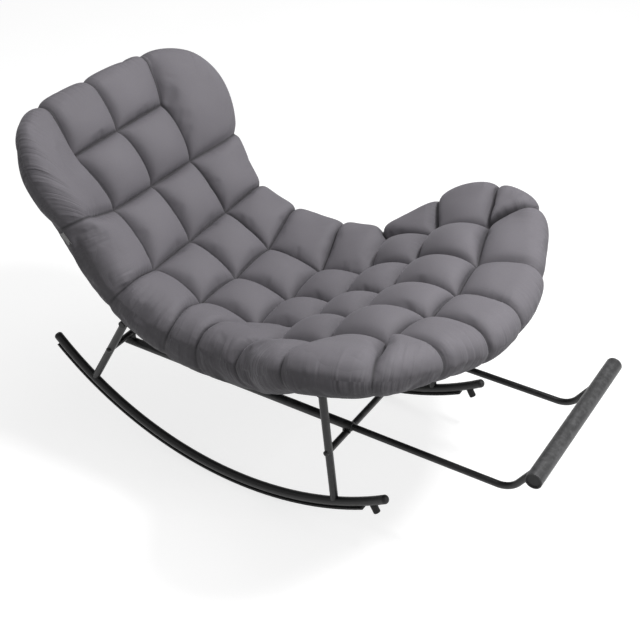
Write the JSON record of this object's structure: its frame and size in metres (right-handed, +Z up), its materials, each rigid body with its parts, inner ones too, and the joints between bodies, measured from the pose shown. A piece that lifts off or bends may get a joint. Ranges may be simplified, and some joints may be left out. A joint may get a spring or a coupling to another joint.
{
  "type": "rocking chaise lounge",
  "caption": "Rocking chaise lounge: bent-tube rockers and frame, one tufted dished cushion, and a foot bar that slides out from under the seat.",
  "frame": {"origin": "the floor under the centre plane, where the rocker arcs touch it at rest", "axes": "+X towards the sitter's feet and the foot bar, +Y to the sitter's left, +Z up"},
  "size_m": [1.376, 0.9048, 0.8358],
  "materials": {
    "frame_black": "satin",
    "bar_black": "satin",
    "bolt_black": "satin",
    "rubber_black": "matte",
    "plastic_black": "matte",
    "webbing": "matte",
    "cushion_fabric": "matte",
    "tag_white": "matte"
  },
  "bodies": {
    "chair": {"back_straps": "webbing", "bearer_bolts": "bolt_black", "bearer_end_caps": "plastic_black", "crossbar_bolts": "bolt_black", "crossbar_plugs": "plastic_black", "cushion_ties": "webbing", "foot_tube": "frame_black", "frame_end_caps": "plastic_black", "front_bearer": "frame_black", "front_crossbar": "frame_black", "front_sleeve_lugs": "frame_black", "front_straps": "webbing", "head_tube": "frame_black", "left_front_leg": "frame_black", "left_guide_sleeve": "frame_black", "left_rear_leg": "frame_black", "left_rocker_strip": "rubber_black", "left_rocker_tube": "frame_black", "left_side_loop": "frame_black", "left_side_rail": "frame_black", "left_stop_peg": "rubber_black", "rail_saddles": "plastic_black", "rear_bearer": "frame_black", "rear_crossbar": "frame_black", "rear_sleeve_lugs": "frame_black", "right_front_leg": "frame_black", "right_guide_sleeve": "frame_black", "right_rear_leg": "frame_black", "right_rocker_strip": "rubber_black", "right_rocker_tube": "frame_black", "right_side_loop": "frame_black", "right_side_rail": "frame_black", "right_stop_peg": "rubber_black", "rocker_end_caps": "plastic_black", "saddle_washers": "bolt_black", "seat_cushion": "cushion_fabric", "seat_straps": "webbing", "side_tag": "tag_white", "sleeve_end_plugs": "plastic_black", "sleeve_liners": "plastic_black", "stop_screws": "bolt_black", "strip_screws": "bolt_black"},
    "footrest": {"right_foot_rod": "frame_black", "left_foot_rod": "frame_black", "foot_bar": "bar_black", "foot_bar_caps": "plastic_black", "rod_glides": "plastic_black"}
  },
  "joints": [
    {"name": "footrest_slide", "type": "slide", "parent": "chair", "child": "footrest", "axis": [1, 0, 0], "range_m": [-0.36, 0]}
  ]
}
